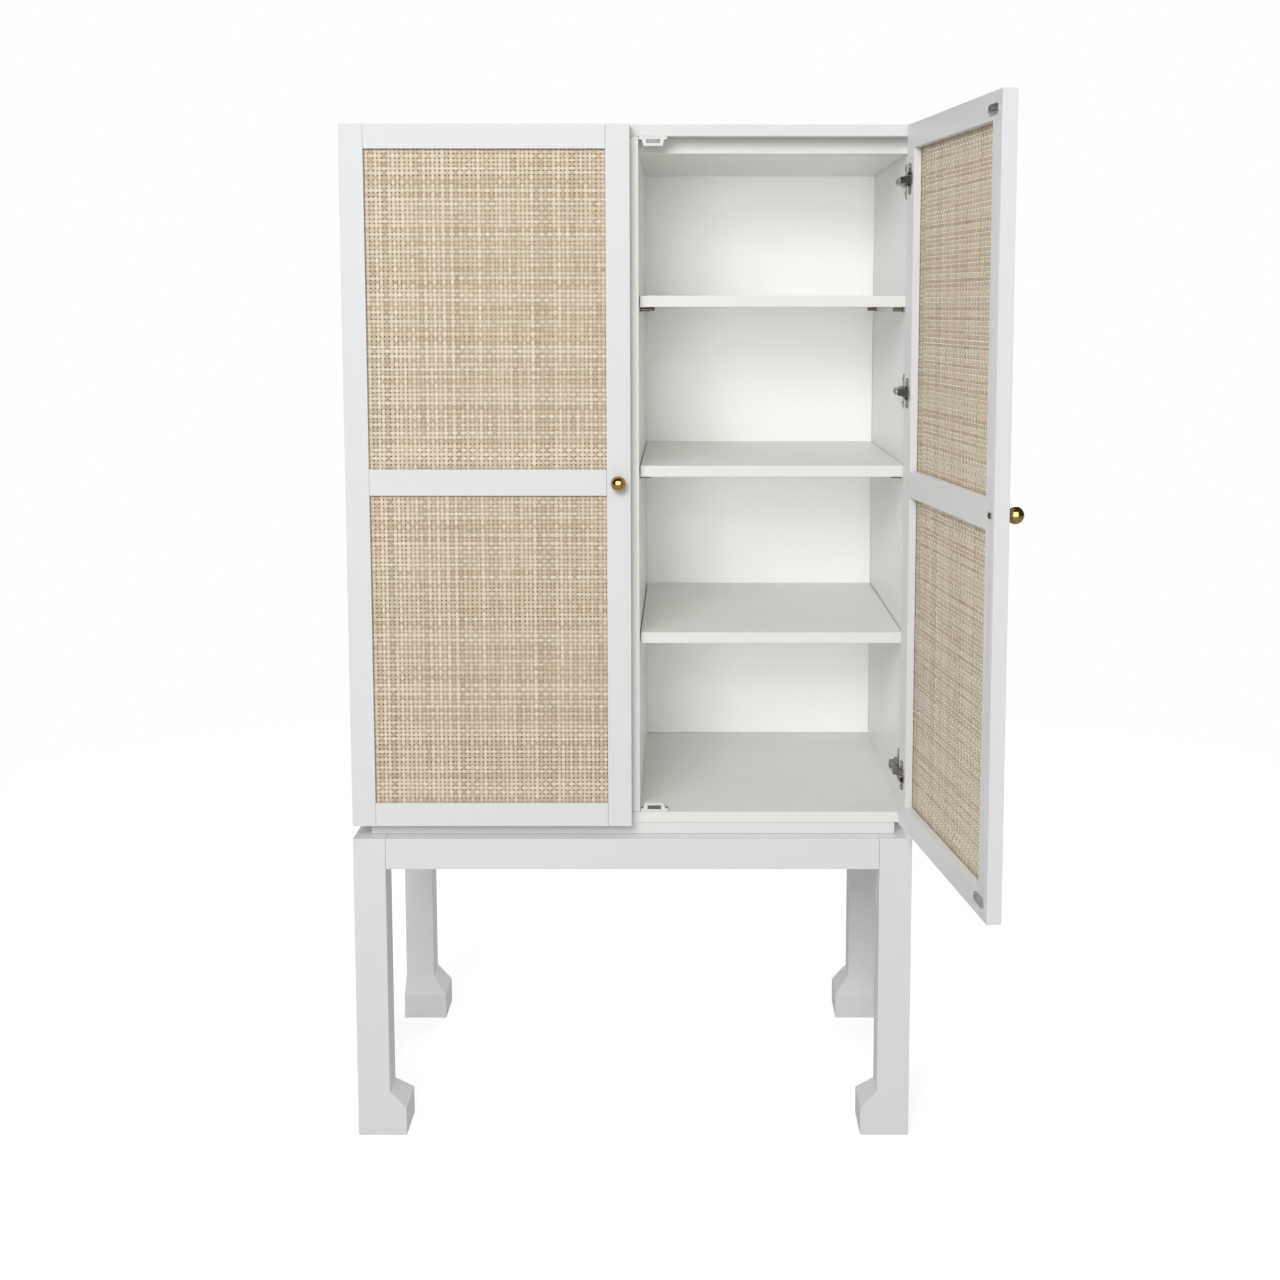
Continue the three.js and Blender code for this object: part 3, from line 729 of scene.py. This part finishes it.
def make_weave(width, height):
    """A panel of plain-woven cane with its lower left corner at the origin, seen from the front."""
    columns = 2 * round(width / CANE_PITCH / 2)
    rows = 2 * round(height / CANE_PITCH / 2)
    uprights = make_strands("uprights", UP, ACROSS, columns, rows, over=True)
    crossers = make_strands("crossers", ACROSS, UP, rows, columns, over=False)
    map_strands(uprights, number_axis=0, along_axis=2, first=0)
    map_strands(crossers, number_axis=2, along_axis=0, first=FIRST_CROSSER)
    let_wander(uprights, ACROSS, UP)
    let_wander(crossers, UP, ACROSS)
    trim(uprights, (0, 0, -CANE_TUCK), -UP)
    trim(uprights, (0, 0, rows * CANE_PITCH + CANE_TUCK), UP)
    trim(crossers, (-CANE_TUCK, 0, 0), -ACROSS)
    trim(crossers, (columns * CANE_PITCH + CANE_TUCK, 0, 0), ACROSS)
    weave = join([uprights, crossers], "cane_weave")
    fit = Matrix.Diagonal((width / (columns * CANE_PITCH), 1, height / (rows * CANE_PITCH), 1))
    weave.data.transform(fit)
    edit(weave)
    bpy.ops.mesh.select_all(action="SELECT")
    bpy.ops.mesh.normals_make_consistent(inside=False)
    stop_editing()
    smooth(weave, STRAND_SMOOTH_ANGLE)
    return weave


def add_cane():
    """The four woven panels, each in place of its plain one in the frame."""
    rail_bottom, rail_top = (corner.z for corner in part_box("left_door_middle_rail"))
    openings = {
        "lower": (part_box("left_door_bottom_rail")[1].z, rail_bottom),
        "upper": (rail_top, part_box("left_door_top_rail")[0].z),
    }
    width = OPENING_FAR_X - OPENING_NEAR_X
    height = openings["lower"][1] - openings["lower"][0]
    weave = make_weave(width, height)
    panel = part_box("lower_left_cane_panel")
    depth = (panel[0].y + panel[1].y) / 2
    centred = Matrix.Translation((-width / 2, 0, 0))
    centre_x = (OPENING_NEAR_X + OPENING_FAR_X) / 2
    for side in SIDES:
        for level, (bottom, top) in openings.items():
            place = on_door(side, (centre_x, depth, bottom)) @ centred
            piece = copy_piece(weave, f"{level}_{side}_cane_weave", place)
            finish_piece(piece, CANE, f"{side}_door")
            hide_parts(f"{level}_{side}_cane_panel")
    remove(weave)


# ---- Screws, shelf pins, hinge fittings and catch fittings ----
def make_screw(name, radius):
    """A domed screw head with a cross recess, facing up from its seat at the origin."""
    screw = add_disc(name, sides=16, radius=radius, height=radius * SCREW_HEIGHT)
    edit(screw)
    select_faces(looking(UP))
    for width, rise in ((SCREW_RIM_WIDTH, SCREW_RIM_RISE), (SCREW_CROWN_WIDTH, SCREW_CROWN_RISE)):
        bpy.ops.mesh.inset(thickness=radius * width)
        bpy.ops.transform.translate(value=(0, 0, radius * rise))
    bpy.ops.mesh.poke()

    def in_cross(face):
        centre = face.calc_center_median()
        on_crown = centre.xy.length < radius * CROSS_REACH and len(face.verts) == 3
        angle = math.degrees(math.atan2(centre.y, centre.x)) % 90
        on_arm = angle < CROSS_HALF_ANGLE or angle > 90 - CROSS_HALF_ANGLE
        return on_crown and on_arm and face.normal.z > FACING

    select_faces(in_cross)
    extrude((0, 0, -radius * CROSS_DEPTH))
    stop_editing()
    smooth(screw)
    return screw


def screw_group(pattern, name, places, material, body):
    """Copies of one screw or nail at several places, kept as one piece of separate solids."""
    copies = [copy_piece(pattern, f"{name}_{count}", place) for count, place in enumerate(places)]
    finish_piece(join(copies, name), material, body)


def make_shelf_pin():
    """A shelf pin pointing up from its wall at the origin: a collar, then a round-ended pin."""
    pin = add_disc("shelf_pin", sides=20, radius=PIN_COLLAR_RADIUS, height=PIN_COLLAR_HEIGHT)
    edit(pin)
    select_faces(looking(UP))
    bpy.ops.mesh.bevel(offset=PIN_COLLAR_EDGE, segments=2, affect="EDGES")
    select_faces(looking(UP))
    bpy.ops.mesh.inset(thickness=PIN_COLLAR_RADIUS - PIN_RADIUS - PIN_COLLAR_EDGE)
    extrude((0, 0, PIN_LENGTH - PIN_END))
    for step, size, from_tip in PIN_END_STEPS:
        extrude((0, 0, step), size, (0, 0, PIN_LENGTH - from_tip))
    stop_editing()
    smooth(pin)
    return pin


def add_shelf_pins():
    """Four pins under each shelf, against the side panel and the divider."""
    pin = make_shelf_pin()
    for side, towards_wall in (("left", -1), ("right", 1)):
        divider_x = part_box("centre_divider")[0 if side == "left" else 1].x
        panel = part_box(f"{side}_side_panel")
        wall_x = panel[1].x if side == "left" else panel[0].x
        for height in ("lower", "middle", "upper"):
            low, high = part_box(f"{height}_{side}_shelf")
            pin_z = low.z - PIN_COLLAR_RADIUS - HAIR
            for end, y in (("front", low.y + PIN_FROM_SHELF_END), ("rear", high.y - PIN_FROM_SHELF_END)):
                for wall, x, out in (("outer", wall_x, -towards_wall), ("inner", divider_x, towards_wall)):
                    place = Matrix.Translation((x + out * HAIR, y, pin_z)) @ facing((out, 0, 0))
                    copy = copy_piece(pin, f"{height}_{side}_shelf_{end}_{wall}_pin", place)
                    finish_piece(copy, BRONZE, "carcass")
    remove(pin)


def make_arm_spine():
    """The raised, round-ended spine of a pressed hinge arm: it faces up, and lies along X."""
    quarter = math.radians(90)
    spine = add_disc("arm_spine", sides=26, radius=SPINE_WIDTH / 2, height=SPINE_RISE, turn=quarter)
    edit(spine, "VERT")
    half_straight = (SPINE_LENGTH - SPINE_WIDTH) / 2
    for end in (-1, 1):
        select_points(lambda place: place.x * end > 0)
        bpy.ops.transform.translate(value=(end * half_straight, 0, 0))
    bpy.ops.mesh.select_mode(type="FACE")
    select_faces(looking(UP))
    bpy.ops.mesh.bevel(offset=SPINE_RISE * SPINE_EDGE, segments=3, affect="EDGES")
    select_faces(looking(UP, SQUARE_ON))
    bpy.ops.mesh.inset(thickness=SPINE_WALL)
    extrude((0, 0, -SPINE_RISE * SPINE_POCKET))
    stop_editing()
    smooth(spine)
    return spine


def add_hinge_fittings():
    """The screws of each hinge, and the spine along its arm."""
    screw = make_screw("fitting_screw", FITTING_SCREW_RADIUS)
    spine = make_arm_spine()
    box_front_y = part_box("left_side_panel")[0].y
    for side, inward in SIDES.items():
        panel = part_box(f"{side}_side_panel")
        wall_x = panel[1].x if side == "left" else panel[0].x
        for level in ("lower", "middle", "upper"):
            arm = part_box(f"{level}_{side}_hinge_arm")
            centre_z = (arm[0].z + arm[1].z) / 2
            turn = facing((inward, 0, 0))
            wing_x = wall_x + inward * WING_THICKNESS
            places = [
                Matrix.Translation((wing_x, box_front_y + WING_FROM_BOX_FRONT, centre_z + rise)) @ turn
                for rise in (-WING_SCREW_RISE, WING_SCREW_RISE)
            ]
            arm_x = arm[1].x if side == "left" else arm[0].x
            places += [
                Matrix.Translation((arm_x, box_front_y + reach, centre_z)) @ turn
                for reach in ARM_SCREWS_FROM_BOX_FRONT
            ]
            screw_group(screw, f"{level}_{side}_hinge_plate_screws", places, STEEL, "carcass")
            place = Matrix.Translation((arm_x, box_front_y + SPINE_FROM_BOX_FRONT, centre_z)) @ turn
            copy = copy_piece(spine, f"{level}_{side}_hinge_arm_spine", place)
            finish_piece(copy, NICKEL, "carcass")
            flange_y = DOOR_INSIDE_Y + CUP_FLANGE_TOP
            places = [
                on_door(side, (HINGE_EDGE_X + CUP_FROM_EDGE, flange_y, centre_z + rise)) @ facing(INWARD)
                for rise in (-CUP_SCREW_RISE, CUP_SCREW_RISE)
            ]
            screw_group(screw, f"{level}_{side}_hinge_cup_screws", places, STEEL, f"{side}_door")
    remove(screw)
    remove(spine)


def make_pole_plates():
    """The two steel plates of a magnetic catch, upright in its recess, with the magnet between."""
    clear_selection()
    bpy.ops.mesh.primitive_cube_add(size=1, location=(0, MAGNET_INSET + MAGNET_DEPTH / 2, 0))
    plates = name_new_piece("pole_plates")
    plates.scale = (MAGNET_WIDTH, MAGNET_DEPTH, MAGNET_HEIGHT)
    bpy.ops.object.transform_apply(location=True, rotation=False, scale=True)
    edit(plates)
    for height in (MAGNET_HALF_GAP, -MAGNET_HALF_GAP):
        bpy.ops.mesh.select_all(action="SELECT")
        bpy.ops.mesh.bisect(plane_co=(0, 0, height), plane_no=UP)
    in_front = looking(-INWARD)
    select_faces(lambda face: in_front(face) and abs(face.calc_center_median().z) > MAGNET_HALF_GAP)
    bpy.ops.mesh.inset(thickness=POLE_RIM, use_individual=True)
    extrude((0, -POLE_RISE, 0))
    stop_editing()
    return plates


def add_catch_fittings():
    """Screws through the ears of each catch, its steel pole plates, and the strike plate's screws."""
    ear_screw = make_screw("catch_screw", CATCH_SCREW_RADIUS)
    strike_screw = make_screw("strike_screw", STRIKE_SCREW_RADIUS)
    magnet = make_pole_plates()
    for side in SIDES:
        for level, up in (("lower", 1), ("upper", -1)):
            low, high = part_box(f"{level}_{side}_catch")
            centre = (low + high) / 2
            seat_z = (low.z if level == "lower" else high.z) + up * CATCH_EAR_HEIGHT
            places = [
                Matrix.Translation((centre.x + spread, centre.y, seat_z)) @ facing((0, 0, up))
                for spread in (-CATCH_SCREW_SPREAD, CATCH_SCREW_SPREAD)
            ]
            screw_group(ear_screw, f"{level}_{side}_catch_screws", places, BRONZE, "carcass")
            place = Matrix.Translation((centre.x, low.y, centre.z))
            plates = copy_piece(magnet, f"{level}_{side}_catch_pole_plates", place)
            finish_piece(plates, MAGNET_STEEL, "carcass")
            closed_x = centre.x if side == "left" else 2 * MIDDLE_X - centre.x
            strike_y = DOOR_INSIDE_Y + STRIKE_SCREW_SEAT
            places = [
                on_door(side, (closed_x + spread, strike_y, centre.z)) @ facing(INWARD)
                for spread in (-STRIKE_SCREW_SPREAD, STRIKE_SCREW_SPREAD)
            ]
            name = f"{level}_{side}_strike_screws"
            screw_group(strike_screw, name, places, BRONZE, f"{side}_door")
    for pattern in (ear_screw, strike_screw, magnet):
        remove(pattern)


# ---- Knobs ----
def make_knob():
    """A ball on a short neck with a small foot, standing out along -Y from the door face at y = 0."""
    clear_selection()
    bpy.ops.mesh.primitive_uv_sphere_add(
        segments=48, ring_count=32, radius=KNOB_RADIUS,
        location=(0, -KNOB_CENTRE, 0), rotation=(math.radians(90), 0, 0),
    )
    knob = name_new_piece("brass_knob")
    bpy.ops.object.transform_apply(location=True, rotation=True, scale=False)
    edit(knob)
    bpy.ops.mesh.select_all(action="SELECT")
    neck_y = math.sqrt(KNOB_RADIUS ** 2 - KNOB_NECK_RADIUS ** 2) - KNOB_CENTRE
    foot_y = -KNOB_FOOT_HEIGHT
    bpy.ops.mesh.bisect(plane_co=(0, neck_y, 0), plane_no=INWARD, use_fill=True, clear_outer=True)
    cut = looking(INWARD, SQUARE_ON)
    select_faces(lambda face: cut(face) and face.calc_center_median().y > neck_y - HAIR)
    extrude((0, (foot_y - neck_y) / 2, 0), KNOB_NECK_WAIST)
    extrude((0, (foot_y - neck_y) / 2, 0), KNOB_NECK_FLARE)
    extrude((0, 0, 0), KNOB_FOOT_RADIUS / KNOB_NECK_RADIUS)
    extrude((0, -foot_y - HAIR, 0))
    stop_editing()
    smooth(knob)
    return knob


def add_knobs():
    """A ball knob and its screw's head on each door, in place of the frame's own."""
    knob = make_knob()
    screw = make_screw("knob_screw", KNOB_SCREW_RADIUS)
    low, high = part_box("left_knob")
    x, z = (low.x + high.x) / 2, (low.z + high.z) / 2
    for side in SIDES:
        body = f"{side}_door"
        piece = copy_piece(knob, f"{side}_brass_knob", on_door(side, (x, DOOR_FRONT_Y, z)))
        finish_piece(piece, BRASS, body)
        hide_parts(f"{side}_knob")
        place = on_door(side, (x, DOOR_INSIDE_Y + HAIR, z)) @ facing(INWARD)
        piece = copy_piece(screw, f"{side}_knob_screw_head", place)
        finish_piece(piece, BRONZE, body)
        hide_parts(f"{side}_knob_screw")
    remove(knob)
    remove(screw)


# ---- Back panel nails ----
def add_back_nails():
    """Flat-headed nails round the edge of the back panel."""
    nail = add_disc("nail", sides=12, radius=NAIL_RADIUS, height=NAIL_HEIGHT)
    edit(nail)
    select_faces(looking(UP))
    bpy.ops.mesh.bevel(offset=NAIL_EDGE, segments=1, affect="EDGES")
    stop_editing()
    smooth(nail, NAIL_SMOOTH_ANGLE)
    low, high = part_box("back_panel")
    inset = Vector((NAIL_FROM_EDGE, 0, NAIL_FROM_EDGE))
    low, high = low + inset, high - inset
    columns = round((high.x - low.x) / NAIL_SPACING)
    rows = round((high.z - low.z) / NAIL_SPACING)
    points = []
    for column in range(columns + 1):
        x = low.x + (high.x - low.x) * column / columns
        points += [(x, low.z), (x, high.z)]
    for row in range(1, rows):
        z = low.z + (high.z - low.z) * row / rows
        points += [(low.x, z), (MIDDLE_X, z), (high.x, z)]
    places = [Matrix.Translation((x, high.y, z)) @ facing(INWARD) for x, z in points]
    screw_group(nail, "back_panel_nails", places, STEEL, "carcass")
    remove(nail)


# ---- The frame's own nodes ----
NODE_FINISHES = {
    "lacquered_wood": (LACQUER, BOARD_EDGE),
    "nickel": (NICKEL, METAL_EDGE),
    "plastic": (PLASTIC, PLASTIC_EDGE),
    "brass": (BRASS, METAL_EDGE),
    "cane": (CANE, METAL_EDGE),
}


def finish_frame_nodes():
    """Gives each node its finish, and softens its edges."""
    for name, node in nodes.items():
        material, edge = NODE_FINISHES[node.data.materials[0].name]
        if name.endswith("strike_plate"):
            material = STEEL
        # Inside boards and shelves take the lacquer painted lighter and warmer, as painted light.
        if name in INSIDE_BOARDS or name.endswith("_shelf"):
            material = INSIDE_LACQUER_PAINTED_LIGHTER
        if name.endswith(("_stile", "_rail")):
            edge = DOOR_FRAME_EDGE
        node.data.materials[0] = material
        weld = node.modifiers.new("weld", "WELD")
        weld.merge_threshold = WELD_GAP
        flats = node.modifiers.new("flats", "DECIMATE")
        flats.decimate_type = "DISSOLVE"
        flats.angle_limit = math.radians(FLAT_ANGLE)
        soft_edge = node.modifiers.new("soft_edge", "BEVEL")
        soft_edge.width = edge
        soft_edge.segments = EDGE_SEGMENTS
        soft_edge.limit_method = "ANGLE"
        soft_edge.angle_limit = math.radians(SHARP_ANGLE)


# ---- Studio ----
def add_floor():
    """A round of pale paper under the cabinet."""
    clear_selection()
    bpy.ops.mesh.primitive_circle_add(vertices=FLOOR_SIDES, radius=FLOOR_RADIUS, fill_type="NGON")
    floor = name_new_piece("floor")
    paint(floor, make_floor_paper())


def add_softbox(name, lit_pieces=None):
    """A rectangular area light. Given a list of pieces, it lights only those."""
    box = SOFTBOXES[name]
    place, target = Vector(box["place"]), Vector(box["target"])
    data = bpy.data.lights.new(name + "_softbox", "AREA")
    data.shape = "RECTANGLE"
    data.size, data.size_y = box["size"]
    data.energy = box["power"]
    light = bpy.data.objects.new(name + "_softbox", data)
    light.location = place
    light.rotation_euler = (target - place).to_track_quat("-Z", "Y").to_euler()
    bpy.context.scene.collection.objects.link(light)
    if lit_pieces:
        lit = bpy.data.collections.new("lit_by_" + name)
        for piece in lit_pieces:
            lit.objects.link(piece)
        light.light_linking.receiver_collection = lit
    return light


def metal_pieces():
    """Every piece and node with a metal finish."""
    metals = {BRASS, NICKEL, STEEL, BRONZE, MAGNET_STEEL}
    meshes = [piece for piece in bpy.data.objects if piece.type == "MESH"]
    return [piece for piece in meshes if metals & set(piece.data.materials)]


def add_studio_light():
    """Even light from all round, plain white to the camera, and softboxes in front and behind.

    The key light is kept out of reflections. The compartments have a softbox that lights only their
    back and side panels, and the metal has a broad one of its own to mirror.
    """
    world = bpy.data.worlds.new("studio")
    bpy.context.scene.world = world
    world.use_nodes = True
    tree = world.node_tree
    path = add_node(tree, "ShaderNodeLightPath").outputs
    strength = remap(tree, path["Is Glossy Ray"], (0.0, 1.0), (ROOM_LIGHT, ROOM_MIRRORED))
    strength = math_node(tree, "MAXIMUM", strength, path["Is Camera Ray"])
    background = tree.nodes["Background"]
    background.inputs["Color"].default_value = WHITE
    tree.links.new(strength, background.inputs["Strength"])
    add_softbox("key").visible_glossy = False
    add_softbox("rear")
    add_softbox("interior", [nodes[name] for name in INTERIOR_LIT])
    add_softbox("metal", metal_pieces())
    bpy.context.scene.view_settings.view_transform = "Standard"


finish_frame_nodes()
add_cane()
add_knobs()
add_hinge_fittings()
add_catch_fittings()
add_shelf_pins()
add_back_nails()
add_floor()
add_studio_light()
